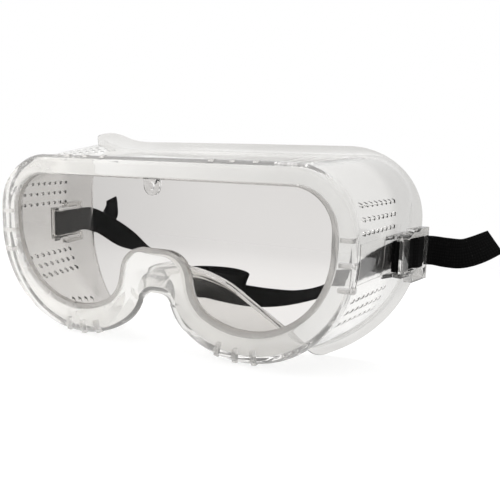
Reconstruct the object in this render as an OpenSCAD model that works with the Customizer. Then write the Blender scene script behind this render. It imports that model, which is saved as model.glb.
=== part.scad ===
// Perforated splash goggles: a soft clear frame with a flat lens and an elastic headband.
// The lens lies in the XZ plane before the whole is leaned to the angle it stands at.
// X points to the viewer's right, Y back towards the face, Z up. Millimetres.

/* [Front frame] */
// Width across the front of the frame
front_w = 160; // [156:1:164]
// Height of the front face above the lens centre
front_top = 36.6; // [35.6:0.2:37.6]
// Depth of the rim around the lens
rim_d = 5; // [4.6:0.1:5.4]
// Distance of the lens face behind the front of the rim
lens_inset = 2.2; // [2:0.1:2.4]
// Thickness of the lens
lens_t = 1.5; // [1.2:0.1:1.6]

/* [Box wall and face flange] */
// Depth of the frame at the forehead
brow_d = 36; // [33:1:38]
// How much further back the frame reaches at the temples
temple_d = 24; // [20:1:26]
// How much less deep it is over the nose
nose_relief = 16; // [12:1:18]
// Wall thickness
wall_t = 1.6; // [1.2:0.1:2]
// Depth of the flared face flange
flange_d = 8; // [6:0.5:9]
// Diameter of a vent hole
vent_d = 1.5; // [1.2:0.1:1.8]

/* [Headband] */
// Width of the elastic strap
strap_w = 12; // [11:0.2:12.6]
// Thickness of the elastic strap
strap_t = 0.9; // [0.8:0.05:0.95]

/* [Standing] */
// Lean of the lens when the goggles stand on a table
lean = 9.4; // [9:0.1:10]

/* [Hidden] */
hw = front_w / 2;              // half width of the frame front
base_x = 89.7;                 // sideways place of the swing point at the standard width
pivot = [hw + 9.7, 66, 4];     // where the free strap starts to swing
tail_x = hw + 11.55;           // where a loose strap end leaves its lug
lug_turn = 12;                 // the lugs splay outwards by this much
groove = lens_t + 0.1;         // width of the lens groove
vent_rows_up = [24.7, 19.9, 15.1];
vent_rows_down = [-8.8, -13.3, -17.9];
vent_pitch = 4.15;
vent_cols = 8;
bar_lo = -2.6;                 // lug opening, lower edge
bar_hi = 10.6;                 // lug opening, upper edge

// Outline records: half width, top, corner radius, lobe height and radius,
// inner lobe x and radius, nose arch x, height and radius.
lip = [hw - 8.2, front_top - 6, 15, 9.2, 32.3, 30.9, 14, 5.5, -7.1, 11];
sight = [hw - 6, front_top - 4.8, 17, 9, 34.5, 30.7, 16, 5.5, -6.9, 8.8];
front = [hw, front_top, 22, 7, 40.5, 32.9, 22, 4.7, -9.9, 5.8];
ridge = [hw + 0.4, front_top + 2.4, 23.5, 6.6, 42, 25.7, 20, 1.6, -19.8, 5.8];
wall_end = [hw + 5.3, front_top + 4.4, 19, 5, 45, 52, 8, 2, -40, 33];
flange_end = [hw + 8.8, front_top + 8.7, 30, 5.2, 52, 54, 6, 2, -40, 28];

clear_pvc = [0.86, 0.87, 0.85, 0.45];
clear_pc = [0.9, 0.93, 0.95, 0.3];
webbing = [0.05, 0.05, 0.05];

// ---- outlines ----
function arc(c, r, a0, a1, n, i0, i1) =
    [for (i = [i0:i1]) let (a = a0 + (a1 - a0) * i / n) [c[0] + r * cos(a), c[1] + r * sin(a)]];
function line(p, q, n, i0, i1) = [for (i = [i0:i1]) p + (q - p) * i / n];
function inset(o, t) =
    [o[0] - t, o[1] - t, o[2] - t, o[3], o[4] - t, o[5], o[6] - t, o[7], o[8], o[9] + t];

// Right half of an outline, from the top middle round to the nose middle.
function half(o) =
    let (
        corner = [o[0] - o[2], o[1] - o[2]],
        lobe = [o[0] - o[4], o[3]],
        dx = o[5] - lobe[0],
        inner = [o[5], o[3] - sqrt(pow(o[4] - o[6], 2) - dx * dx)],
        arch = [o[7], o[8]],
        turn = atan2(inner[1] - lobe[1], inner[0] - lobe[0]),
        gap = norm(arch - inner),
        aim = atan2(arch[1] - inner[1], arch[0] - inner[0]),
        lean_in = acos(min(1, (o[6] + o[9]) / gap)),
        leave = (aim > 0 ? aim - 360 : aim) + lean_in,
        from = inner + o[6] * [cos(leave), sin(leave)],
        to = arch - o[9] * [cos(leave), sin(leave)]
    )
    concat(
        line([0, o[1]], [corner[0], o[1]], 8, 0, 7),
        arc(corner, o[2], 90, 0, 8, 0, 8),
        line([o[0], corner[1]], [o[0], o[3]], 3, 1, 2),
        [for (a = concat([for (i = [0:14]) -90 * i / 14], [for (i = [1:8]) -90 + (leave + 90) * i / 8]))
            let (d = [cos(a), sin(a)]) a > turn ? lobe + o[4] * d : inner + o[6] * d],
        line(from, to, 4, 1, 3),
        arc(arch, o[9], leave + 180, 90, 8, 0, 8),
        [[0, o[8] + o[9]]]
    );
function outline(o) =
    let (h = half(o), n = len(h))
    concat(h, [for (i = [n - 2:-1:1]) [-h[i][0], h[i][1]]]);

// ---- rings in space ----
function smooth(t) = let (c = max(0, min(1, t))) c * c * (3 - 2 * c);
// Depth of the rear edge: deep at the temples, shallow over the nose.
function face_y(p) = brow_d + temple_d * pow(p[0] / 86, 2)
    - nose_relief * exp(-pow(p[0] / 46, 2)) * smooth((8 - p[1]) / 18);
function flat_ring(o, y) = [for (p = outline(o)) [p[0], y, p[1]]];
function mix(a, b, w) = a + (b - a) * w;
// Ring of the rear parts: w goes from the wall to the flange edge, t is the inset.
function rear_ring(w, t, back) =
    let (
        edge = outline(wall_end),
        here = outline(inset(mix(wall_end, flange_end, w), t)),
        a = outline(inset(wall_end, t)),
        b = outline(inset(flange_end, t))
    )
    [for (i = [0:len(edge) - 1]) let (p = mix(a[i], b[i], w)) [p[0], face_y(edge[i]) + back, p[1]]];

// Closed solid swept through rings that form a loop in section.
module ring_solid(rings) {
    m = len(rings);
    n = len(rings[0]);
    faces = [for (i = [0:m - 1]) for (j = [0:n - 1])
        let (a = i * n + j, b = i * n + (j + 1) % n, c = ((i + 1) % m) * n)
        each [[a, c + (j + 1) % n, b], [a, c + j, c + (j + 1) % n]]];
    polyhedron(points = [for (r = rings) each r], faces = faces, convexity = 12);
}

// Solid plug filling the box wall, used to trim parts to its outer face.
module wall_plug() {
    a = flat_ring(inset(ridge, 1), rim_d);
    b = rear_ring(0, 0, 0);
    n = len(a);
    sides = [for (j = [0:n - 1]) let (k = (j + 1) % n) each [[j, n + k, k], [j, n + j, n + k]]];
    caps = [for (j = [0:n - 1]) let (k = (j + 1) % n) each [[2 * n, j, k], [2 * n + 1, n + k, n + j]]];
    polyhedron(points = concat(a, b, [[0, rim_d, 12], [0, brow_d - nose_relief, 12]]),
        faces = concat(sides, caps), convexity = 12);
}

module stand() {
    rotate([lean, 0, 0])
        translate([0, -lens_inset, 0])
            children();
}

// ---- frame moulding ----
module rib() {
    translate([-1.1, 2, -1.6])
        cube([2.2, rim_d - 2.4, 2.6]);
}

module rib_at(x, z, turn) {
    translate([x, 0, z])
        rotate([0, turn, 0])
            rib();
}

module front_bezel() {
    gap = inset(sight, -0.2);
    color(clear_pvc)
        stand()
            union() {
                ring_solid([flat_ring(lip, lens_inset), flat_ring(sight, 0), flat_ring(front, 0),
                    flat_ring(ridge, rim_d - 2), flat_ring(ridge, rim_d), flat_ring(lip, rim_d),
                    flat_ring(lip, lens_inset + groove), flat_ring(gap, lens_inset + groove),
                    flat_ring(gap, lens_inset)]);
                for (s = [-1, 1]) {
                    for (x = [25, 33.7, 43])
                        rib_at(s * x, front_top + 1.9, 0);
                    for (z = [14, 5.5, -3])
                        rib_at(s * (hw - 0.1), z, s * 90);
                    for (a = [-82, -93, -104])
                        rib_at(s * (hw - 41.6 + 41.5 * cos(a)), 6.6 + 41.5 * sin(a), s * (90 - a));
                }
            }
}

module vent_rows(rows) {
    for (z = rows)
        for (i = [0:vent_cols - 1])
            translate([0, 12.7 + i * vent_pitch, z])
                rotate([0, 90, 0])
                    cylinder(d = vent_d, h = 200, center = true, $fn = 24);
}

module vent_wall() {
    color(clear_pvc)
        stand()
            difference() {
                ring_solid([flat_ring(inset(ridge, 1), rim_d), rear_ring(0, 0, 0),
                    rear_ring(0, wall_t, 0), flat_ring(inset(ridge, 1 + wall_t), rim_d)]);
                vent_rows(vent_rows_up);
                vent_rows(vent_rows_down);
                for (s = [-1, 1])
                    for (k = [0:2])
                        for (i = [0:6]) {
                            translate([s * (47 + 5 * k), 12 + i * vent_pitch, 30])
                                cylinder(d = vent_d, h = 20, $fn = 24);
                            translate([s * (53 + 4.5 * k), 12 + i * vent_pitch, -45])
                                cylinder(d = vent_d, h = 24, $fn = 24);
                        }
            }
}

module face_flange() {
    steps = 4;
    outer = [for (i = [0:steps]) let (a = 90 * i / steps)
        rear_ring(1 - cos(a), 0, flange_d * sin(a))];
    inner = [for (i = [steps:-1:0]) let (a = 90 * i / steps)
        rear_ring(1 - cos(a), wall_t * cos(a), (flange_d + wall_t) * sin(a))];
    color(clear_pvc)
        stand()
            ring_solid(concat(outer, inner));
}

// Small tab that keeps the lens in its groove at the brow.
module lens_tab() {
    top = front_top - 4.8;
    color(clear_pvc)
        stand()
            union() {
                intersection() {
                    translate([0, 3, 0])
                        rotate([90, 0, 0])
                            linear_extrude(3)
                                union() {
                                    translate([0, top - 3.4])
                                        circle(r = 3.75, $fn = 48);
                                    translate([-3.75, top - 3.4])
                                        square([7.5, 6]);
                                }
                    rotate([90, 0, 90])
                        linear_extrude(12, center = true)
                            polygon([[0.7, top - 12], [lens_inset, top - 12], [lens_inset, front_top - 6],
                                [0.7, top - 1.2 * 0.7 / lens_inset]]);
                }
                translate([0, 0.8, top - 3.4])
                    rotate([90, 0, 0])
                        cylinder(r = 1.5, h = 0.7, $fn = 32);
            }
}

// ---- lens ----
module lens() {
    color(clear_pc)
        stand()
            translate([0, lens_inset + lens_t, 0])
                rotate([90, 0, 0])
                    linear_extrude(lens_t)
                        polygon(outline(sight));
}

// ---- strap lugs ----
// Lug frame: X outwards from the wall, Y back along the strap.
module lug_place(side) {
    stand()
        mirror([side < 0 ? 1 : 0, 0, 0])
            translate([hw + 2.9, 36, 0])
                rotate([0, 0, -lug_turn])
                    children();
}

module bar(w0, w1, u0, u1) {
    translate([w0, u0, bar_lo - 0.5])
        cube([w1 - w0, u1 - u0, bar_hi - bar_lo + 1]);
}

module rail(z0, z1, thick_z) {
    translate([1.35, 2, z0])
        cube([3.4, 24.5, z1 - z0]);
    translate([1.35, 12, min(z0, thick_z)])
        cube([3.4, 14.5, max(z1, thick_z) - min(z0, thick_z)]);
}

module shelf(z0, z1) {
    translate([0, 0, z0])
        linear_extrude(z1 - z0)
            polygon([[-4, -3], [-0.3, -3], [1.6, 4], [1.6, 18], [-5, 18]]);
}

module strap_lug(side) {
    color(clear_pvc)
        difference() {
            lug_place(side)
                union() {
                    rail(bar_hi, bar_hi + 1.4, bar_hi + 3.2);
                    rail(bar_lo - 1.4, bar_lo, bar_lo - 4.6);
                    bar(1.35, 2.35, 4, 9);
                    bar(3.55, 4.75, 2, 8.4);
                    bar(2.45, 3.75, 17.6, 21.7);
                    bar(3.55, 4.75, 24.5, 26.5);
                    shelf(bar_hi, bar_hi + 1.4);
                    shelf(bar_lo - 1.4, bar_lo);
                }
            stand()
                wall_plug();
        }
}

module strap_lug_left() {
    strap_lug(-1);
}

module strap_lug_right() {
    strap_lug(1);
}

// ---- strap threaded through a lug ----
function left_of(p, q) = let (d = (q - p) / norm(q - p)) [-d[1], d[0]];
// Points of a path shifted sideways by d, mitred at the bends.
function side_path(p, d) =
    [for (i = [0:len(p) - 1])
        let (
            m = left_of(p[max(i - 1, 0)], p[max(i, 1)]),
            k = left_of(p[min(i, len(p) - 2)], p[min(i + 1, len(p) - 1)])
        )
        p[i] + (m + k) / (1 + m * k) * d];

module strap_loop(side) {
    path = concat([[0.49, 30.4], [1.72, 24.6], [0.75, 20]],
        arc([1.85, 3.6], 1.1, 180, 360, 8, 0, 8),
        [[2.95, 15.2], [4.35, 17.4], [4.35, 21.9], [2.95, 24.2], [2.95, 26.8]]);
    color(webbing)
        difference() {
            lug_place(side)
                translate([0, 0, pivot[2] - strap_w / 2])
                    linear_extrude(strap_w)
                        polygon(concat(side_path(path, strap_t / 2),
                            [for (i = [len(path) - 1:-1:0]) side_path(path, -strap_t / 2)[i]]));
            stand()
                translate([side * pivot[0], pivot[1], pivot[2]])
                    rotate([0, 90, 0])
                        cylinder(r = strap_w / 2 + 1.2, h = 6, center = true, $fn = 64);
        }
}

module strap_loop_left() {
    strap_loop(-1);
}

module strap_loop_right() {
    strap_loop(1);
}

// ---- free lengths of strap ----
// Smooth curve through control points.
function curve(p, n) = concat(
    [for (i = [0:len(p) - 2])
        let (a = p[max(i - 1, 0)], b = p[i], c = p[i + 1], d = p[min(i + 2, len(p) - 1)])
        each [for (k = [0:n - 1]) let (t = k / n)
            0.5 * (2 * b + (c - a) * t + (2 * a - 5 * b + 4 * c - d) * t * t
                + (3 * b - a - 3 * c + d) * t * t * t)]],
    [p[len(p) - 1]]);
function unit(v) = v / norm(v);

// Flat ribbon along a curve; across holds the width direction at each control point.
module ribbon(points, across, n) {
    c = curve(points, n);
    w = curve(across, n);
    last = len(c) - 1;
    corners = [for (i = [0:last])
        let (
            t = unit(c[min(i + 1, last)] - c[max(i - 1, 0)]),
            d = unit(w[i] - (w[i] * t) * t),
            e = cross(t, d)
        )
        each [for (q = [[1, 1], [1, -1], [-1, -1], [-1, 1]])
            c[i] + d * q[0] * strap_w / 2 + e * q[1] * strap_t / 2]];
    sides = [for (i = [0:last - 1]) for (j = [0:3])
        let (a = 4 * i + j, b = 4 * i + (j + 1) % 4)
        each [[a, b, b + 4], [a, b + 4, a + 4]]];
    polyhedron(points = corners, faces = concat(sides, [[3, 2, 1, 0]],
        [[4 * last, 4 * last + 1, 4 * last + 2, 4 * last + 3]]), convexity = 10);
}

// Round end of the band, where it turns about the lug.
module band_end(side) {
    translate([side * pivot[0], pivot[1], pivot[2]])
        intersection() {
            rotate([0, 90, 0])
                cylinder(d = strap_w - 0.2, h = strap_t - 0.1, center = true, $fn = 48);
            translate([-strap_t, -strap_w, -strap_w])
                cube([2 * strap_t, strap_w + 0.8, 2 * strap_w]);
        }
}

// The band leaves the left lug, folds back on itself twice and rises to the right lug.
module headband() {
    rest = [[-base_x, 66, 4], [-base_x, 72, 2.6], [-89.3, 76.5, 0.6], [-85, 79.3, -2.6],
        [-75, 80, -7.4], [-63, 80.5, -12.6],
        [-50, 82, -17.2], [-36, 84, -21.5], [-22, 86, -25.7], [-12, 87.5, -28], [-6.5, 89.5, -29],
        [-5.5, 92.5, -28.2], [-10, 95, -27], [-18, 96.5, -26.6], [-30, 97, -27.4], [-40, 96.5, -28.5],
        [-44.5, 94.5, -29.6], [-42.5, 92.2, -30.6], [-33, 91, -31.3], [-18, 90.5, -32.6],
        [-4, 90.5, -33.4], [10, 91, -33], [24, 92, -31], [38, 92, -26], [50, 92, -18], [62, 90, -9.5],
        [74, 88, -2.8], [84.5, 83.8, 1.2], [89.3, 77.5, 3.1], [base_x, 72, 3.8], [base_x, 66, 4]];
    // the curve widens with the frame
    points = [for (p = rest) [p[0] * pivot[0] / base_x, p[1], p[2]]];
    up = [0, 0, 1];
    across = [up, up, up, [0, 0.2, 1], [-0.15, 0.65, 0.75], [-0.35, 0.94, 0.15], [-0.38, 0.92, 0.05],
        [-0.37, 0.92, 0.08], [-0.3, 0.85, 0.4], [-0.2, 0.7, 0.7], [-0.1, 0.3, 1], [0, 0.3, 1],
        [0, 0.5, 0.85], [0, 0.5, 0.85], [0, 0.3, 0.95], [0, 0.1, 1], up, up, [0, 0.2, 1],
        [-0.15, 0.5, 0.85], [-0.2, 0.6, 0.75], [-0.25, 0.75, 0.6], [-0.28, 0.9, 0.35],
        [-0.3, 0.92, 0.25], [-0.2, 0.85, 0.45], [-0.1, 0.5, 0.8], [0, 0.2, 1], up, up, up, up];
    color(webbing)
        stand()
            union() {
                ribbon(points, across, 4);
                band_end(-1);
                band_end(1);
            }
}

module strap_tail(points, across) {
    color(webbing)
        stand()
            union() {
                ribbon(points, across, 4);
                translate([points[0][0], points[0][1], pivot[2]])
                    cylinder(d = strap_t - 0.1, h = strap_w - 0.1, center = true, $fn = 32);
            }
}

// The loose end behind the left lug turns up and twists.
module strap_tail_left() {
    up = [0, 0, 1];
    strap_tail([[-tail_x, 62.5, 4], [-tail_x - 1.45, 68, 3.2], [-tail_x - 1.95, 74, 1.6],
        [-tail_x - 1.95, 80.5, 0], [-tail_x - 1.45, 85.5, 0.5], [-tail_x - 0.75, 88.5, 4],
        [-tail_x - 0.35, 89.5, 9], [-tail_x - 0.15, 89, 13]],
        [up, up, up, [-0.1, 0.2, 0.9], [-0.2, 0.5, 0.6], [-0.4, 0.7, 0.35], [-0.35, 0.85, 0.3],
        [-0.3, 0.8, 0.45]]);
}

// The loose end beside the right lug sticks out sideways.
module strap_tail_right() {
    up = [0, 0, 1];
    strap_tail([[tail_x, 62.5, 4], [tail_x + 3.45, 63.4, 3.9], [tail_x + 8.45, 63, 3.6],
        [tail_x + 14.45, 62, 3.9], [tail_x + 19.95, 62.6, 5.9], [tail_x + 26.25, 65, 9.4]],
        [up, up, [0, 0.15, 1], [-0.1, 0.35, 0.92], [-0.28, 0.45, 0.85], [-0.66, 0.51, 0.55]]);
}

front_bezel();
vent_wall();
face_flange();
lens_tab();
lens();
strap_lug_left();
strap_lug_right();
strap_loop_left();
strap_loop_right();
headband();
strap_tail_left();
strap_tail_right();
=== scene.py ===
# Looks of the safety goggles: clear moulded frame and lens, black woven strap, pale studio.
import bpy
import bmesh
import math
import numpy as np
from mathutils import Matrix, Vector
from mathutils.bvhtree import BVHTree
from mathutils.interpolate import poly_3d_calc


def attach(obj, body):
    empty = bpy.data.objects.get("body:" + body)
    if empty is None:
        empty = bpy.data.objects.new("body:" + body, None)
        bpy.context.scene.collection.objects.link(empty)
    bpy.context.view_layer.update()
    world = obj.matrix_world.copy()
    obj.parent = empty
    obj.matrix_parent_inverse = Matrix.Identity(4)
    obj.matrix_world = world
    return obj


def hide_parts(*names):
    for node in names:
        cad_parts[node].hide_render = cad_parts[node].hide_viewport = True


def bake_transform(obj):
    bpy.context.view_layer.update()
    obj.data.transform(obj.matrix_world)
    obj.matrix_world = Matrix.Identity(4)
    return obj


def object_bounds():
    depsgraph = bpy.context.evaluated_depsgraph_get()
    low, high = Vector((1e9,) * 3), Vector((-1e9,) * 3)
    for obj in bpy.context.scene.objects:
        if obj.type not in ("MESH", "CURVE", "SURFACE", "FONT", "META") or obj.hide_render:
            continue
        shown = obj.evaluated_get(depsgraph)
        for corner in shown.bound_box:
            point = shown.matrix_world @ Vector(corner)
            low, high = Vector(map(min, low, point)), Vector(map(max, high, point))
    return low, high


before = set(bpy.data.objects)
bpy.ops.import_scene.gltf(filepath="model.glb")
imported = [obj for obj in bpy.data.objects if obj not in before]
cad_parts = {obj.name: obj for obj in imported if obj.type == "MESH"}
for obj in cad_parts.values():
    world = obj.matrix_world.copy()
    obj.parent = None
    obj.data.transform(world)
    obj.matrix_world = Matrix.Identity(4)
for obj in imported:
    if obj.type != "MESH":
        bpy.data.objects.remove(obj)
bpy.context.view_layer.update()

LEAN = math.radians(9.4)  # the goggles stand leaning back by this much
INSET = 2.2               # how far the lens sits behind the front plane, mm
COS, SIN = math.cos(LEAN), math.sin(LEAN)


def stand(p):
    """Millimetres in the lens frame to metres in the standing frame."""
    p = np.asarray(p, float)
    y, z = p[..., 1] - INSET, p[..., 2]
    return np.stack([p[..., 0], y * COS - z * SIN, y * SIN + z * COS], -1) / 1000


# ---------------------------------------------------------------- outlines
# half width, top, corner radius, lobe height and radius, inner lobe x and radius, nose arch x, height, radius
LIP = (71.8, 30.6, 15, 9.2, 32.3, 30.9, 14, 5.5, -7.1, 11)
SIGHT = (74, 31.8, 17, 9, 34.5, 30.7, 16, 5.5, -6.9, 8.8)
FRONT = (80, 36.6, 22, 7, 40.5, 32.9, 22, 4.7, -9.9, 5.8)
RIDGE = (80.4, 39, 23.5, 6.6, 42, 25.7, 20, 1.6, -19.8, 5.8)
WALL_END = (85.3, 41, 19, 5, 45, 52, 8, 2, -40, 33)
FLANGE_END = (88.8, 45.3, 30, 5.2, 52, 54, 6, 2, -40, 28)
WALL = 1.6          # wall thickness
RIM = 5.0           # depth of the rim
GROOVE = 1.6        # width of the lens groove
LENS_T = 1.5        # lens thickness
FLANGE = 8          # reach of the flange behind the wall
FLAP = 6.2          # how far the flange is turned up at the top left corner
CORNER_RISE = 3.0   # how far the top left corner itself is raised
RIB_TOP = 0.75      # outer end of a grip rib, in its own frame
VENT_R = 0.8        # radius of a vent
VENT_PITCH = 4.15   # from one vent to the next along a row
VENT_ROWS = (24.7, 19.9, 15.1, -8.8, -13.3, -17.9)
VENT_SIDES = 16     # sides of a vent's outline
STRAP_W = 12.0      # strap width
STRAP_T = 0.9       # strap thickness
STRAP_Z = 4.0       # height of the strap's middle in the lugs


def inset(o, t):
    w, top, rc, zl, rl, x2, r2, x3, z3, r3 = o
    return (w - t, top - t, rc - t, zl, rl - t, x2, r2 - t, x3, z3, r3 + t)


def outline(o, k=3):
    w, top, rc, zl, rl, x2, r2, x3, z3, r3 = o
    corner = np.array([w - rc, top - rc])
    lobe = np.array([w - rl, zl])
    dx = x2 - lobe[0]
    inner = np.array([x2, zl - math.sqrt((rl - r2) ** 2 - dx * dx)])
    arch = np.array([x3, z3])
    turn = math.atan2(inner[1] - lobe[1], inner[0] - lobe[0])
    gap = np.linalg.norm(arch - inner)
    aim = math.atan2(arch[1] - inner[1], arch[0] - inner[0])
    leave = (aim - 2 * math.pi if aim > 0 else aim) + math.acos(min(1, (r2 + r3) / gap))
    half = math.pi / 2

    def at(a):
        return np.array([math.cos(a), math.sin(a)])
    pts = [np.array([corner[0] * i / (8 * k), top]) for i in range(8 * k)]
    pts += [corner + rc * at(half * (1 - i / (8 * k))) for i in range(8 * k + 1)]
    pts += [np.array([w, corner[1] + (zl - corner[1]) * i / (3 * k)]) for i in range(1, 3 * k)]
    angles = [-half * i / (14 * k) for i in range(14 * k + 1)]
    angles += [-half + (leave + half) * i / (8 * k) for i in range(1, 8 * k + 1)]
    pts += [lobe + rl * at(a) if a > turn else inner + r2 * at(a) for a in angles]
    start, end = inner + r2 * at(leave), arch - r3 * at(leave)
    pts += [start + (end - start) * i / (4 * k) for i in range(1, 4 * k)]
    a0 = leave + math.pi
    pts += [arch + r3 * at(a0 + (half - a0) * i / (8 * k)) for i in range(8 * k + 1)]
    pts += [np.array([x3 * (1 - i / k), z3 + r3]) for i in range(1, k + 1)]
    pts = np.array(pts)
    left = pts[-2:0:-1] * [-1, 1]
    return np.vstack([pts, left])


def smooth(t):
    t = np.clip(t, 0, 1)
    return t * t * (3 - 2 * t)


def face_y(p):
    x, z = p[:, 0], p[:, 1]
    return 36 + 24 * (x / 86) ** 2 - 16 * np.exp(-(x / 46) ** 2) * smooth((8 - z) / 18)


def ring(o, y):
    p = outline(o)
    return np.column_stack([p[:, 0], np.full(len(p), y) if np.isscalar(y) else y, p[:, 1]])


EDGE = outline(WALL_END)


def rear_ring(w, t, back):
    a, b = outline(inset(WALL_END, t)), outline(inset(FLANGE_END, t))
    p = a + (b - a) * w
    q = np.column_stack([p[:, 0], face_y(EDGE) + back, p[:, 1]])
    # the soft flange is turned up at the top left corner and dies away towards the middle
    x = q[:, 0]
    lift = smooth((x + 79.3) / 1.4) * np.clip((-38 - x) / 39, 0, 1) ** 3 * smooth((q[:, 2] - 25) / 12)
    corner = smooth((x + 86) / 12) * smooth((-36 - x) / 34) * smooth((q[:, 2] - 20) / 15)
    q[:, 2] += CORNER_RISE * corner + FLAP * w * lift
    q[:, 1] -= 0.5 * FLAP * w * lift
    return q


def rounded_section(stops, steps=3):
    """stops: list of (ring, corner radius). Returns rings with each corner rounded off."""
    out = []
    n = len(stops)
    for i, (p, r) in enumerate(stops):
        if r <= 0:
            out.append(p)
            continue
        before, after = stops[i - 1][0], stops[(i + 1) % n][0]
        la = np.linalg.norm(before - p, axis=1, keepdims=True)
        lb = np.linalg.norm(after - p, axis=1, keepdims=True)
        a = p + (before - p) * np.minimum(r / la, 0.45)
        b = p + (after - p) * np.minimum(r / lb, 0.45)
        for k in range(steps + 1):
            t = k / steps
            out.append(a * (1 - t) ** 2 + 2 * p * t * (1 - t) + b * t * t)
    return out


# ---------------------------------------------------------------- mesh helpers
def mesh_object(name, verts, faces, mat):
    me = bpy.data.meshes.new(name)
    me.from_pydata([tuple(v) for v in verts], [], faces)
    me.validate()
    ob = bpy.data.objects.new(name, me)
    bpy.context.scene.collection.objects.link(ob)
    me.materials.append(mat)
    me.polygons.foreach_set("use_smooth", [True] * len(me.polygons))
    bm = bmesh.new()
    bm.from_mesh(me)
    bmesh.ops.recalc_face_normals(bm, faces=bm.faces)
    bm.to_mesh(me)
    bm.free()
    return ob


def swept(name, rings, mat):
    """Closed body through a closed series of rings."""
    m, n = len(rings), len(rings[0])
    verts = stand(np.vstack(rings))
    faces = []
    for i in range(m):
        k = (i + 1) % m
        for j in range(n):
            l = (j + 1) % n
            faces.append((i * n + j, k * n + j, k * n + l, i * n + l))
    return mesh_object(name, verts, faces, mat)


def box_mesh(bm, lo, hi, place):
    """Adds a box, given in a local frame in mm; place turns local points into lens-frame points."""
    c = [(x, y, z) for x in (lo[0], hi[0]) for y in (lo[1], hi[1]) for z in (lo[2], hi[2])]
    v = [bm.verts.new(stand(place(np.array(p, float)))) for p in c]
    for f in ((0, 1, 3, 2), (4, 6, 7, 5), (0, 4, 5, 1), (2, 3, 7, 6), (0, 2, 6, 4), (1, 5, 7, 3)):
        bm.faces.new([v[i] for i in f])


def solid(bm, low, high):
    """Adds the solid between two matching rings of points."""
    low = [bm.verts.new(p) for p in low]
    high = [bm.verts.new(p) for p in high]
    for i in range(len(low)):
        k = (i + 1) % len(low)
        bm.faces.new((low[i], low[k], high[k], high[i]))
    bm.faces.new(low[::-1])
    bm.faces.new(high)


def bm_object(name, bm):
    bmesh.ops.recalc_face_normals(bm, faces=bm.faces)
    me = bpy.data.meshes.new(name)
    bm.to_mesh(me)
    bm.free()
    ob = bpy.data.objects.new(name, me)
    bpy.context.scene.collection.objects.link(ob)
    return ob


def bake(ob):
    """Replaces the object's mesh with its modified mesh."""
    dg = bpy.context.evaluated_depsgraph_get()
    me = bpy.data.meshes.new_from_object(ob.evaluated_get(dg))
    ob.modifiers.clear()
    old = ob.data
    ob.data = me
    bpy.data.meshes.remove(old)


def boolean(ob, other, how):
    """Joins or cuts ob with other, which is used up."""
    mod = ob.modifiers.new("b", "BOOLEAN")
    mod.operation = how
    mod.solver = "EXACT"
    mod.object = other
    bake(ob)
    bpy.data.objects.remove(other, do_unlink=True)


def bevel(ob, width, segments=2, angle=30):
    mod = ob.modifiers.new("v", "BEVEL")
    mod.width = width
    mod.segments = segments
    mod.limit_method = "ANGLE"
    mod.angle_limit = math.radians(angle)
    mod.use_clamp_overlap = True
    bake(ob)


def shade(ob, angle=35):
    ob.data.polygons.foreach_set("use_smooth", [True] * len(ob.data.polygons))
    ob.data.update()
    ob.data.set_sharp_from_angle(angle=math.radians(angle))


def copy_normals(ob, source):
    """Gives every face of ob that lies on source the smooth shading of source, and deletes source."""
    on_skin = 0.00005
    tree = BVHTree.FromObject(source, bpy.context.evaluated_depsgraph_get())
    inner = set()
    for poly in ob.data.polygons:
        if tree.find_nearest(poly.center)[3] > on_skin:
            inner.add(poly.index)
    normals = [Vector(c.vector) for c in ob.data.corner_normals]
    bases = [Vector(c.vector) for c in source.data.corner_normals]
    for poly in ob.data.polygons:
        if poly.index in inner:
            continue
        for li in poly.loop_indices:
            point = ob.data.vertices[ob.data.loops[li].vertex_index].co
            at, _, index, _ = tree.find_nearest(point * 0.999 + poly.center * 0.001)
            face = source.data.polygons[index]
            corners = [source.data.vertices[v].co for v in face.vertices]
            weights = poly_3d_calc(corners, at)
            n = sum((bases[l] * w for l, w in zip(face.loop_indices, weights)), Vector())
            if n.length > 0.5 and (poly.area < 2e-8 or n.normalized().dot(poly.normal) > 0.5):
                normals[li] = n.normalized()
    ob.data.normals_split_custom_set([tuple(n) for n in normals])
    bpy.data.objects.remove(source, do_unlink=True)


# ---------------------------------------------------------------- materials
def new_mat(name):
    m = bpy.data.materials.new(name)
    m.use_nodes = True
    nt = m.node_tree
    nt.nodes.clear()
    out = nt.nodes.new("ShaderNodeOutputMaterial")
    bsdf = nt.nodes.new("ShaderNodeBsdfPrincipled")
    nt.links.new(bsdf.outputs[0], out.inputs[0])
    return m, nt, bsdf


def along(nt, co, axis, lo, hi, out_lo, out_hi):
    """Value that runs from out_lo to out_hi between two places along an axis of the object, in metres."""
    dot = nt.nodes.new("ShaderNodeVectorMath")
    dot.operation = "DOT_PRODUCT"
    dot.inputs[1].default_value = axis
    nt.links.new(co.outputs["Object"], dot.inputs[0])
    ramp = nt.nodes.new("ShaderNodeMapRange")
    for key, value in (("From Min", lo), ("From Max", hi), ("To Min", out_lo), ("To Max", out_hi)):
        ramp.inputs[key].default_value = value
    nt.links.new(dot.outputs["Value"], ramp.inputs["Value"])
    return ramp.outputs["Result"]


SIDEWAYS, DEPTH, UP = (1, 0, 0), (0, COS, SIN), (0, 0, 1)


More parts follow.
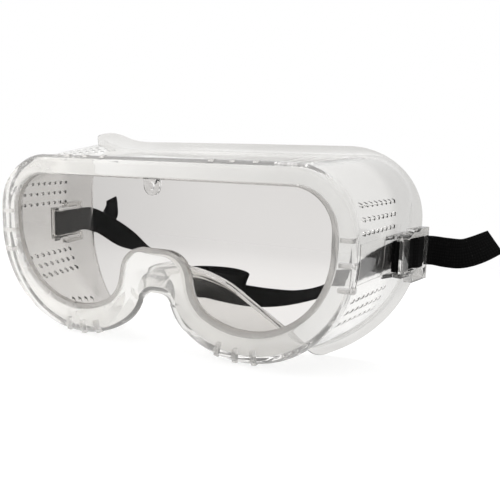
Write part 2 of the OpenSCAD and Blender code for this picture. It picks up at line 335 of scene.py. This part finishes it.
def clear_material(name, tint, ior, rough, bump, scale, shine, clear, painted_shades):
    """Clear plastic. tint holds its two shades, clear how clear the rim and the wall are, and the last
    argument two gradual changes of brightness painted in as shade, as (axis, from, to, brightness at from,
    brightness at to)."""
    m, nt, b = new_mat(name)
    b.inputs["Specular IOR Level"].default_value = shine
    b.inputs["IOR"].default_value = ior
    co = nt.nodes.new("ShaderNodeTexCoord")
    nt.links.new(along(nt, co, DEPTH, 0.003, 0.007, *clear), b.inputs["Transmission Weight"])
    n1 = nt.nodes.new("ShaderNodeTexNoise")
    n1.inputs["Scale"].default_value = scale
    n1.inputs["Detail"].default_value = 3
    nt.links.new(co.outputs["Object"], n1.inputs["Vector"])
    ramp = nt.nodes.new("ShaderNodeValToRGB")
    ramp.color_ramp.elements[0].position = 0.35
    ramp.color_ramp.elements[0].color = (*tint[0], 1)
    ramp.color_ramp.elements[1].position = 0.65
    ramp.color_ramp.elements[1].color = (*tint[1], 1)
    nt.links.new(n1.outputs["Fac"], ramp.inputs["Fac"])
    shift = nt.nodes.new("ShaderNodeVectorMath")
    shift.operation = "SCALE"
    nt.links.new(ramp.outputs["Color"], shift.inputs[0])
    # painted shade: the base colour is darkened by the two gradual brightness changes
    tone = nt.nodes.new("ShaderNodeMath")
    tone.operation = "MULTIPLY"
    for i, value in enumerate(along(nt, co, *t) for t in painted_shades):
        nt.links.new(value, tone.inputs[i])
    nt.links.new(tone.outputs[0], shift.inputs["Scale"])
    nt.links.new(shift.outputs["Vector"], b.inputs["Base Color"])
    mr = nt.nodes.new("ShaderNodeMapRange")
    mr.inputs["From Min"].default_value = 0.3
    mr.inputs["From Max"].default_value = 0.7
    mr.inputs["To Min"].default_value = rough * 0.5
    mr.inputs["To Max"].default_value = rough * 1.5
    nt.links.new(n1.outputs["Fac"], mr.inputs["Value"])
    nt.links.new(mr.outputs["Result"], b.inputs["Roughness"])
    n2 = nt.nodes.new("ShaderNodeTexNoise")
    n2.inputs["Scale"].default_value = scale * 2.5
    n2.inputs["Detail"].default_value = 2
    nt.links.new(co.outputs["Object"], n2.inputs["Vector"])
    bp = nt.nodes.new("ShaderNodeBump")
    bp.inputs["Strength"].default_value = 1.0
    bp.inputs["Distance"].default_value = bump
    nt.links.new(n2.outputs["Fac"], bp.inputs["Height"])
    nt.links.new(bp.outputs["Normal"], b.inputs["Normal"])
    return m


def webbing_material():
    m, nt, b = new_mat("webbing")
    b.inputs["Specular IOR Level"].default_value = 0.06
    uv = nt.nodes.new("ShaderNodeUVMap")
    uv.uv_map = "UVMap"

    def wave(direction, scale, profile):
        w = nt.nodes.new("ShaderNodeTexWave")
        w.bands_direction = direction
        w.wave_profile = profile
        w.inputs["Scale"].default_value = scale
        w.inputs["Distortion"].default_value = 0.4
        w.inputs["Detail"].default_value = 1
        w.inputs["Detail Scale"].default_value = 3
        nt.links.new(uv.outputs["UV"], w.inputs["Vector"])
        return w
    warp = wave("Y", 260, "SIN")
    weft = wave("X", 330, "SIN")
    mul = nt.nodes.new("ShaderNodeMath")
    mul.operation = "MULTIPLY"
    nt.links.new(warp.outputs["Fac"], mul.inputs[0])
    nt.links.new(weft.outputs["Fac"], mul.inputs[1])
    noise = nt.nodes.new("ShaderNodeTexNoise")
    noise.inputs["Scale"].default_value = 900
    noise.inputs["Detail"].default_value = 3
    nt.links.new(uv.outputs["UV"], noise.inputs["Vector"])
    add = nt.nodes.new("ShaderNodeMath")
    add.operation = "ADD"
    nt.links.new(mul.outputs[0], add.inputs[0])
    nt.links.new(noise.outputs["Fac"], add.inputs[1])
    ramp = nt.nodes.new("ShaderNodeValToRGB")
    ramp.color_ramp.elements[0].position = 0.4
    ramp.color_ramp.elements[0].color = (0.0008, 0.0008, 0.0008, 1)
    ramp.color_ramp.elements[1].position = 1.0
    ramp.color_ramp.elements[1].color = (0.004, 0.004, 0.004, 1)
    nt.links.new(add.outputs[0], ramp.inputs["Fac"])
    nt.links.new(ramp.outputs["Color"], b.inputs["Base Color"])
    mr = nt.nodes.new("ShaderNodeMapRange")
    mr.inputs["To Min"].default_value = 0.75
    mr.inputs["To Max"].default_value = 0.95
    nt.links.new(noise.outputs["Fac"], mr.inputs["Value"])
    nt.links.new(mr.outputs["Result"], b.inputs["Roughness"])
    bp = nt.nodes.new("ShaderNodeBump")
    bp.inputs["Strength"].default_value = 0.6
    bp.inputs["Distance"].default_value = 0.00012
    nt.links.new(add.outputs[0], bp.inputs["Height"])
    nt.links.new(bp.outputs["Normal"], b.inputs["Normal"])
    return m


# painted shade: the frame's colour darkens towards the right side and towards the flange at the back
PVC = clear_material("clear_pvc", tint=((0.95, 0.938, 0.916), (0.985, 0.975, 0.955)), ior=1.27, rough=0.045,
                     bump=0.00003, scale=45, shine=0.7, clear=(0.74, 0.97),
                     painted_shades=((SIDEWAYS, -0.05, 0.06, 1.0, 0.82), (DEPTH, 0.034, 0.042, 1.0, 0.84)))
# painted shade: the lugs are painted slightly darker towards the right
LUG = clear_material("clear_pvc_lug", tint=((0.84, 0.835, 0.825), (0.88, 0.875, 0.865)), ior=1.48, rough=0.03,
                     bump=0.00002, scale=60, shine=0.7, clear=(1.0, 1.0),
                     painted_shades=((SIDEWAYS, -0.1, 0.1, 1.0, 0.96), (DEPTH, 0, 0.1, 1.0, 1.0)))
# painted shade: the lens is painted darker towards its left side, and a little darker towards the top
LENS = clear_material("clear_lens", tint=((0.735, 0.718, 0.704), (0.755, 0.738, 0.724)), ior=1.13,
                      rough=0.012, bump=0.000004, scale=20, shine=0.4, clear=(1.0, 1.0),
                      painted_shades=((SIDEWAYS, -0.075, 0.03, 0.72, 0.98), (UP, -0.03, 0.03, 1.0, 0.99)))
WEB = webbing_material()

# ---------------------------------------------------------------- clear frame moulding
steps = 8
flange_out, flange_in = [], []
for i in range(steps + 1):
    a = math.pi / 2 * i / steps
    flange_out.append((rear_ring(1 - math.cos(a), 0, FLANGE * math.sin(a)), 0))
    thin = WALL - 0.7 * math.sin(a)
    flange_in.append((rear_ring(1 - math.cos(a), thin * math.cos(a), (FLANGE + thin) * math.sin(a)), 0))
flange_out[-1] = (flange_out[-1][0], 0.35)
flange_in[-1] = (flange_in[-1][0], 0.35)
# rings along the wall that keep its shading even round the vents
WALL_STEPS = np.linspace(0, 1, 23)[1:-1]
a_wall, b_wall = ring(inset(RIDGE, 1), RIM), rear_ring(0, 0, 0)
a_in, b_in = ring(inset(RIDGE, 1 + WALL), RIM), rear_ring(0, WALL, 0)
wall_mid = [(a_wall + (b_wall - a_wall) * t, 0) for t in WALL_STEPS]
wall_mid_in = [(b_in + (a_in - b_in) * t, 0) for t in WALL_STEPS]
stops = [(ring(LIP, INSET), 0.25), (ring(SIGHT, 0), 0.5), (ring(FRONT, 0), 1.4), (ring(RIDGE, RIM - 2), 1.0),
         (ring(RIDGE, RIM), 0.5), (a_wall, 0.5)]
stops += wall_mid + flange_out + flange_in[::-1] + wall_mid_in
stops += [(a_in, 0.5), (ring(LIP, RIM), 0.4), (ring(LIP, INSET + GROOVE), 0.15),
          (ring(inset(SIGHT, -0.2), INSET + GROOVE), 0.1), (ring(inset(SIGHT, -0.2), INSET), 0.1)]
body = swept("clear_frame", rounded_section(stops), PVC)

# where a lug stands on the wall, and how much it splays outwards
LUG_X, LUG_Y, LUG_TURN = 82.9, 36.0, math.radians(12)
CT, ST = math.cos(LUG_TURN), math.sin(LUG_TURN)


def lug_point(side):
    """Turns points of a lug's own frame (outwards, backwards, up) into lens-frame points."""
    def place(p):
        w, u, z = p
        return np.array([side * (LUG_X + w * CT + u * ST), LUG_Y + u * CT - w * ST, z])
    return place


BAR_LO, BAR_HI = -2.6, 10.6  # lower and upper edge of the lug's opening
RAIL = 1.4                   # thickness of a rail


def prism(points, lo, hi):
    """Upright prism in the lug's own frame, in mm."""
    bm = bmesh.new()
    solid(bm, [(w, u, lo) for w, u in points], [(w, u, hi) for w, u in points])
    return bm_object("lug_block", bm)


def lug(side):
    """Strap lug: two feet on the wall, two rails and four bars between them."""
    def oblong(w0, w1, u0, u1, lo, hi):
        return prism([(w0, u0), (w1, u0), (w1, u1), (w0, u1)], lo, hi)
    upper_foot = [(-0.8, -3), (-0.1, -3), (1.6, 4), (1.6, 18), (-2.8, 18)]
    lower_foot = [(-2.0, -3), (-0.1, -3), (1.6, 4), (1.6, 18), (-4.0, 18)]
    whole = oblong(1.35, 4.75, 2, 26.5, BAR_HI, BAR_HI + RAIL)
    parts = [oblong(1.35, 4.75, 2, 26.5, BAR_LO - RAIL, BAR_LO),
             oblong(1.35, 4.75, 12, 26.5, BAR_HI, BAR_HI + 3.2),
             oblong(1.35, 4.75, 12, 26.5, BAR_LO - 4.6, BAR_LO)]
    for w0, w1, u0, u1 in ((1.35, 2.35, 4, 9), (3.55, 4.75, 2, 8.4), (2.45, 3.75, 17.6, 21.7),
                           (3.55, 4.75, 24.5, 26.5)):
        parts.append(oblong(w0, w1, u0, u1, BAR_LO, BAR_HI))
    parts += [prism(upper_foot, BAR_HI, BAR_HI + RAIL), prism(lower_foot, BAR_LO - RAIL, BAR_LO)]
    for part in parts:
        boolean(whole, part, "UNION")
    bm = bmesh.new()
    bm.from_mesh(whole.data)
    bmesh.ops.remove_doubles(bm, verts=bm.verts, dist=0.001)
    bmesh.ops.dissolve_limit(bm, angle_limit=0.01, verts=bm.verts, edges=bm.edges)
    bm.to_mesh(whole.data)
    bm.free()
    bevel(whole, 0.4, 3)
    place = lug_point(side)
    for v in whole.data.vertices:
        v.co = stand(place(np.array(v.co)))
    if side < 0:
        whole.data.flip_normals()
    whole.data.materials.clear()
    whole.data.materials.append(LUG)
    whole.data.validate()
    return whole


def wall_frame(side):
    """Thin raised rectangle moulded on the side wall in front of the lug."""
    lo_y, hi_y, lo_z, hi_z, line_w = 9.0, 32.5, -3.0, 12.0, 0.5
    buried, proud = -0.6, 0.22
    wall_round = 42
    cut = 6

    def loop(t):
        a, b, c, d = lo_y + t, hi_y - t, lo_z + t, hi_z - t
        p = [(a, c + (d - c) * i / cut) for i in range(cut)]
        p += [(a + (b - a) * i / cut, d) for i in range(cut)]
        p += [(b, d - (d - c) * i / cut) for i in range(cut)]
        return p + [(b - (b - a) * i / cut, c) for i in range(cut)]

    def on_wall(y, z, w):
        sag = wall_round - math.sqrt(wall_round * wall_round - min(0, z - 6.3) ** 2)
        return np.array([side * (79.4 + 0.107 * (y - 5) - sag + w), y, z])
    bm = bmesh.new()
    rows = [[bm.verts.new(stand(on_wall(y, z, w))) for y, z in loop(t)]
            for t, w in ((0, buried), (0, proud), (line_w, proud), (line_w, buried))]
    count = len(rows[0])
    for i in range(4):
        for j in range(count):
            k = (j + 1) % count
            bm.faces.new((rows[i][j], rows[i][k], rows[(i + 1) % 4][k], rows[(i + 1) % 4][j]))
    return bm_object("wall_frame", bm)


for side in (-1, 1):
    boolean(body, wall_frame(side), "UNION")
    boolean(body, lug(side), "UNION")

# grip ribs round the rim, with a small hollow behind each one at the sides and the bottom
for s in (-1, 1):
    spots = [(s * x, 38.5, 0) for x in (25, 33.7, 43)]
    spots += [(s * 79.9, z, s * 90) for z in (14, 5.5, -3)]
    for a in (-82, -93, -104):
        t = math.radians(a)
        spots.append((s * (38.4 + 41.5 * math.cos(t)), 6.6 + 41.5 * math.sin(t), s * (90 - a)))
    bm = bmesh.new()
    hollow = bmesh.new()
    for x, z, turn in spots:
        t = math.radians(turn)

        def place(p, x=x, z=z, t=t):
            c, n = math.cos(t), math.sin(t)
            return np.array([x + p[0] * c + p[2] * n, p[1], z - p[0] * n + p[2] * c])
        box_mesh(bm, (-1.1, 2, -1.6), (1.1, RIM - 0.4, RIB_TOP), place)
        if turn:
            box_mesh(hollow, (-0.8, 1.3, -4.9), (0.8, 4.3, -0.7), place)
    ribs = bm_object("ribs", bm)
    bevel(ribs, 0.0003, 2)
    boolean(body, ribs, "UNION")
    boolean(body, bm_object("rib_hollows", hollow), "DIFFERENCE")

# vent holes
bm = bmesh.new()


def drill(x0, y, z0, axis, length):
    """Adds the round bar that cuts one vent."""
    start = np.array([x0, y, z0], float)
    d = np.array(axis, float)
    side_a = np.array([0, 1, 0], float)
    side_b = np.cross(d, side_a)
    turn = np.linspace(0, 2 * math.pi, VENT_SIDES, endpoint=False)
    circle = [VENT_R * (math.cos(t) * side_a + math.sin(t) * side_b) for t in turn]
    solid(bm, *([stand(start + d * length * e + c) for c in circle] for e in (0, 1)))


for s in (-1, 1):
    for z in VENT_ROWS:
        for i in range(8):
            drill(s * 64, 12.7 + VENT_PITCH * i, z, (s, 0, 0), 30)
    for k in range(3):
        for i in range(7):
            drill(s * (47 + 5 * k), 12 + VENT_PITCH * i, 30, (0, 0, 1), 18)
            drill(s * (53 + 4.5 * k), 12 + VENT_PITCH * i, -20.5, (0, 0, -1), 22)
shade(body, 40)
whole = bpy.data.objects.new("whole", body.data.copy())
bpy.context.scene.collection.objects.link(whole)
boolean(body, bm_object("vents", bm), "DIFFERENCE")
shade(body, 40)
copy_normals(body, whole)
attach(body, "frame")
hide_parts("front_bezel", "vent_wall", "face_flange", "strap_lug_left", "strap_lug_right")

# ---------------------------------------------------------------- lens and its tab
pts = outline(SIGHT)
n = len(pts)
front_ring = np.column_stack([pts[:, 0], np.full(n, INSET), pts[:, 1]])
back_ring = front_ring + [0, LENS_T, 0]
lens_pts = np.vstack([front_ring, back_ring])
faces = [(j, n + j, n + (j + 1) % n, (j + 1) % n) for j in range(n)]
faces += [tuple(range(n)), tuple(range(2 * n - 1, n - 1, -1))]
lens = mesh_object("clear_lens_plate", stand(lens_pts), faces, LENS)
shade(lens, 30)
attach(lens, "frame")
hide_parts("lens")

# the tab is a half round tongue with a small peg in it
TAB_R, TAB_Z, TAB_TOP = 3.75, 28.4, 31.5
PEG_R, PEG_SIDES = 1.5, 28
tab_ring = [(-TAB_R, TAB_TOP), (-TAB_R, TAB_Z)]
turn = np.linspace(math.pi, 2 * math.pi, 25)[1:-1]
tab_ring += [(TAB_R * math.cos(a), TAB_Z + TAB_R * math.sin(a)) for a in turn]
tab_ring += [(TAB_R, TAB_Z), (TAB_R, TAB_TOP)]
bm = bmesh.new()
solid(bm, [stand((x, 0.8, z)) for x, z in tab_ring],
      [stand((x, INSET - 0.03, z if z < 31 else 30.9)) for x, z in tab_ring])
tab = bm_object("lens_tab_piece", bm)
bm = bmesh.new()
turn = np.linspace(0, 2 * math.pi, PEG_SIDES, endpoint=False)
circle = [(PEG_R * math.cos(a), TAB_Z + PEG_R * math.sin(a)) for a in turn]
solid(bm, [stand((x, -0.1, z)) for x, z in circle], [stand((x, 1.4, z)) for x, z in circle])
boolean(tab, bm_object("peg", bm), "UNION")
bevel(tab, 0.00025, 2)
tab.data.materials.clear()
tab.data.materials.append(LUG)
shade(tab, 35)
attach(tab, "frame")
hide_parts("lens_tab")


# ---------------------------------------------------------------- strap
def spline(points, n):
    """Smooth curve through the points, with n steps from each to the next."""
    p = np.array(points, float)
    out = []
    for i in range(len(p) - 1):
        a, b, c, d = p[max(i - 1, 0)], p[i], p[i + 1], p[min(i + 2, len(p) - 1)]
        for t in np.linspace(0, 1, n, endpoint=False):
            out.append(0.5 * (2 * b + (c - a) * t + (2 * a - 5 * b + 4 * c - d) * t * t
                              + (3 * b - a - 3 * c + d) * t ** 3))
    out.append(p[-1])
    return np.array(out)


def ribbon(name, points, across, n):
    """Flat strap along a curve; across holds its width direction at each point."""
    c, w = spline(points, n), spline(across, n)
    t = np.gradient(c, axis=0)
    t /= np.linalg.norm(t, axis=1)[:, None]
    w = w - (w * t).sum(1)[:, None] * t
    w /= np.linalg.norm(w, axis=1)[:, None]
    e = np.cross(t, w)
    half_w, half_t = STRAP_W / 2, STRAP_T / 2
    cols = 8
    edge = 0.35
    flat_w = STRAP_W - 2 * edge
    section = [(-half_w + edge + flat_w * i / cols, half_t) for i in range(cols + 1)]
    section += [(half_w - 0.1, half_t * 0.7), (half_w, 0), (half_w - 0.1, -half_t * 0.7)]
    section += [(half_w - edge - flat_w * i / cols, -half_t) for i in range(cols + 1)]
    section += [(-half_w + 0.1, -half_t * 0.7), (-half_w, 0), (-half_w + 0.1, half_t * 0.7)]
    m = len(section)
    length = np.concatenate([[0], np.cumsum(np.linalg.norm(np.diff(c, axis=0), axis=1))])
    verts, uvs = [], []
    for i in range(len(c)):
        for a, b in section:
            verts.append(c[i] + w[i] * a + e[i] * b)
            uvs.append((length[i] / 1000, a / 1000))
    faces = []
    for i in range(len(c) - 1):
        for j in range(m):
            k = (j + 1) % m
            faces.append((i * m + j, i * m + k, (i + 1) * m + k, (i + 1) * m + j))
    last = (len(c) - 1) * m
    faces += [tuple(range(m - 1, -1, -1)), tuple(range(last, last + m))]
    me = bpy.data.meshes.new(name)
    me.from_pydata([tuple(v) for v in stand(np.array(verts))], [], faces)
    layer = me.uv_layers.new(name="UVMap")
    for loop in me.loops:
        layer.data[loop.index].uv = uvs[loop.vertex_index]
    me.materials.append(WEB)
    ob = bpy.data.objects.new(name, me)
    bpy.context.scene.collection.objects.link(ob)
    bm = bmesh.new()
    bm.from_mesh(me)
    bmesh.ops.recalc_face_normals(bm, faces=bm.faces)
    bm.to_mesh(me)
    bm.free()
    shade(ob, 50)
    return ob


# each strap is a list of (point, width direction)
BAND = [((-89.7, 72, 2.6), UP), ((-89.3, 76.5, .6), UP), ((-85, 79.3, -2.6), (0, .2, 1)),
        ((-75, 80, -7.4), (-.15, .65, .75)), ((-63, 80.5, -12.6), (-.35, .94, .15)),
        ((-50, 82, -17.2), (-.38, .92, .05)), ((-36, 84, -21.5), (-.37, .92, .08)),
        ((-22, 86, -25.7), (-.3, .85, .4)), ((-12, 87.5, -28), (-.2, .7, .7)),
        ((-6.5, 89.5, -29), (-.1, .3, 1)),
        ((-5.5, 92.5, -28.2), (0, .3, 1)), ((-10, 95, -27), (0, .5, .85)), ((-18, 96.5, -26.6), (0, .5, .85)),
        ((-30, 97, -27.4), (0, .3, .95)), ((-40, 96.5, -28.5), (0, .1, 1)), ((-44.5, 94.5, -29.6), UP),
        ((-42.5, 92.2, -30.6), UP), ((-33, 91, -31.3), (0, .2, 1)), ((-18, 90.5, -32.6), (-.15, .5, .85)),
        ((-4, 90.5, -33.4), (-.2, .6, .75)), ((10, 91, -33), (-.25, .75, .6)),
        ((24, 92, -31), (-.28, .9, .35)),
        ((38, 92, -26), (-.3, .92, .25)), ((50, 92, -18), (-.2, .85, .45)), ((62, 90, -9.5), (-.1, .5, .8)),
        ((74, 88, -2.8), (0, .2, 1)), ((84.5, 83.8, 1.2), UP), ((89.3, 77.5, 3.1), UP), ((89.7, 72, 3.8), UP)]


def loop_path(side):
    """Strap centre line through a lug, from the band's side to the loose end."""
    flat = [(0.75, 20), (0.75, 12)]
    turn = np.linspace(math.pi, 2 * math.pi, 9)
    flat += [(1.85 + 1.1 * math.cos(a), 3.6 + 1.1 * math.sin(a)) for a in turn]
    flat += [(2.95, 8), (2.95, 14.8), (3.3, 15.8), (4.05, 17.0), (4.35, 18.0), (4.35, 21.3), (4.05, 22.4),
             (3.25, 23.7), (2.95, 24.6), (2.95, 26.6)]
    place = lug_point(side)
    return [tuple(place((w, u, STRAP_Z))) for w, u in flat]


# the band runs through the left lug, behind the head and through the right lug in one piece
pivot_l, pivot_r = (-89.7, 66, STRAP_Z), (89.7, 66, STRAP_Z)
left_lug = loop_path(-1)[::-1]
right_lug = loop_path(1)
gate_l, gate_r = (tuple(lug_point(side)((1.72, 24.6, STRAP_Z))) for side in (-1, 1))
pts_all = left_lug + [gate_l, pivot_l] + [p for p, _ in BAND] + [pivot_r, gate_r] + right_lug
acr_all = [UP] * (len(left_lug) + 2) + [a for _, a in BAND] + [UP] * (len(right_lug) + 2)
band = ribbon("strap_band", pts_all, acr_all, 8)
tuple(stand((0, 61, 4)))
tuple(stand((0, 74, 3)))
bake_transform(band)
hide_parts("headband", "strap_loop_left", "strap_loop_right")
TAIL_L = [((-91.4, 61.9, 4), UP), ((-93, 68, 3.2), UP), ((-93.5, 74, 1.6), UP),
          ((-93.5, 80.5, 0), (-.1, .2, .9)),
          ((-93, 85.5, .5), (-.05, .5, .6)), ((-92.3, 88.5, 4), (.1, .75, .35)),
          ((-91.9, 89.5, 9), (-.1, .85, .3)),
          ((-91.7, 89, 13), (-.2, .85, .4))]
TAIL_R = [((91.4, 61.9, 4), UP), ((95, 63.4, 3.9), UP), ((100, 63, 3.6), (0, .15, 1)),
          ((106, 62, 3.9), (-.1, .35, .92)), ((111.5, 62.6, 5.9), (-.28, .45, .85)),
          ((117.8, 65, 9.4), (-.66, .51, .55))]
tail_l = ribbon("strap_end_left", [p for p, _ in TAIL_L], [a for _, a in TAIL_L], 12)
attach(tail_l, "tail_left")
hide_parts("strap_tail_left")
tail_r = ribbon("strap_end_right", [p for p, _ in TAIL_R], [a for _, a in TAIL_R], 12)
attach(tail_r, "tail_right")
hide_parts("strap_tail_right")

# ---------------------------------------------------------------- studio
paper, nt, coat = new_mat("floor_paper")
coat.inputs["Roughness"].default_value = 0.9
coat.inputs["Specular IOR Level"].default_value = 0.1
coat.inputs["Emission Color"].default_value = (1, 1, 1, 1)
coat.inputs["Emission Strength"].default_value = 0.72
grain = nt.nodes.new("ShaderNodeTexNoise")
grain.inputs["Scale"].default_value = 60
tone = nt.nodes.new("ShaderNodeValToRGB")
tone.color_ramp.elements[0].color = (0.34, 0.34, 0.34, 1)
tone.color_ramp.elements[1].color = (0.37, 0.37, 0.37, 1)
nt.links.new(grain.outputs["Fac"], tone.inputs["Fac"])
nt.links.new(tone.outputs["Color"], coat.inputs["Base Color"])
low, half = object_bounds()[0][2], 6
corners = [(-half, -half, low), (half, -half, low), (half, half, low), (-half, half, low)]
floor = mesh_object("floor", corners, [(0, 1, 2, 3)], paper)

# the backdrop is bright behind the goggles, and darker in front of them and towards the right
world = bpy.data.worlds.new("studio")
bpy.context.scene.world = world
world.use_nodes = True
wt = world.node_tree
bg = wt.nodes["Background"]
bg.inputs["Strength"].default_value = 1.0
where = wt.nodes.new("ShaderNodeTexCoord")
split = wt.nodes.new("ShaderNodeSeparateXYZ")
wt.links.new(where.outputs["Generated"], split.inputs[0])
depth_ramp = wt.nodes.new("ShaderNodeMapRange")
depth_ramp.inputs["From Min"].default_value = -1
depth_ramp.inputs["From Max"].default_value = 1
wt.links.new(split.outputs["Y"], depth_ramp.inputs["Value"])
sky = wt.nodes.new("ShaderNodeValToRGB")
sky.color_ramp.elements[0].position = 0.0
sky.color_ramp.elements[0].color = (0.5, 0.5, 0.5, 1)
sky.color_ramp.elements[1].position = 1.0
sky.color_ramp.elements[1].color = (1.0, 1.0, 1.0, 1)
for position, grey in ((0.38, 0.6), (0.58, 1.0)):
    sky.color_ramp.elements.new(position).color = (grey, grey, grey, 1)
wt.links.new(depth_ramp.outputs["Result"], sky.inputs["Fac"])
side_ramp = wt.nodes.new("ShaderNodeMapRange")
for key, value in (("From Min", 0.0), ("From Max", 0.8), ("To Min", 1.0), ("To Max", 0.6)):
    side_ramp.inputs[key].default_value = value
wt.links.new(split.outputs["X"], side_ramp.inputs["Value"])
dim = wt.nodes.new("ShaderNodeVectorMath")
dim.operation = "SCALE"
wt.links.new(sky.outputs["Color"], dim.inputs[0])
wt.links.new(side_ramp.outputs["Result"], dim.inputs["Scale"])
wt.links.new(dim.outputs["Vector"], bg.inputs["Color"])


def area(name, at, look, size, power):
    d = bpy.data.lights.new(name, "AREA")
    d.shape = "RECTANGLE"
    d.size, d.size_y = size
    d.energy = power
    o = bpy.data.objects.new(name, d)
    bpy.context.scene.collection.objects.link(o)
    o.location = at
    o.rotation_euler = (Vector(look) - Vector(at)).to_track_quat("-Z", "Y").to_euler()


area("overhead", (0.05, 0.15, 1.1), (0, 0.05, 0), (1.6, 1.4), 9)
area("key", (-0.3, -0.7, 0.5), (0, 0.02, 0), (0.9, 0.6), 2.2)
area("side", (0.9, -0.1, 0.35), (0, 0.03, 0), (0.15, 0.5), 0.6)

# ---------------------------------------------------------------- camera
az, el, roll = math.radians(26.39), math.radians(9.41), math.radians(1.35)
back = Vector((math.sin(az) * math.cos(el), -math.cos(az) * math.cos(el), math.sin(el)))
right = Vector((math.cos(az), math.sin(az), 0))
up = back.cross(right)
rolled_right = right * math.cos(roll) + up * math.sin(roll)
rolled_up = -right * math.sin(roll) + up * math.cos(roll)
tilt = Matrix.Rotation(LEAN, 3, "X")
basis = Matrix([tilt @ rolled_right, tilt @ rolled_up, tilt @ back]).transposed()
cam = bpy.data.objects.new("camera", bpy.data.cameras.new("camera"))
bpy.context.scene.collection.objects.link(cam)
CAMERA_AT = (135.40, -186.74, 42.43)
cam.matrix_world = Matrix.Translation(Vector(stand(CAMERA_AT))) @ basis.to_4x4()
cam.data.sensor_width = 36
cam.data.lens = 43.2
cam.data.clip_start = 0.01
bpy.context.scene.camera = cam
bpy.context.scene.view_settings.view_transform = "Standard"
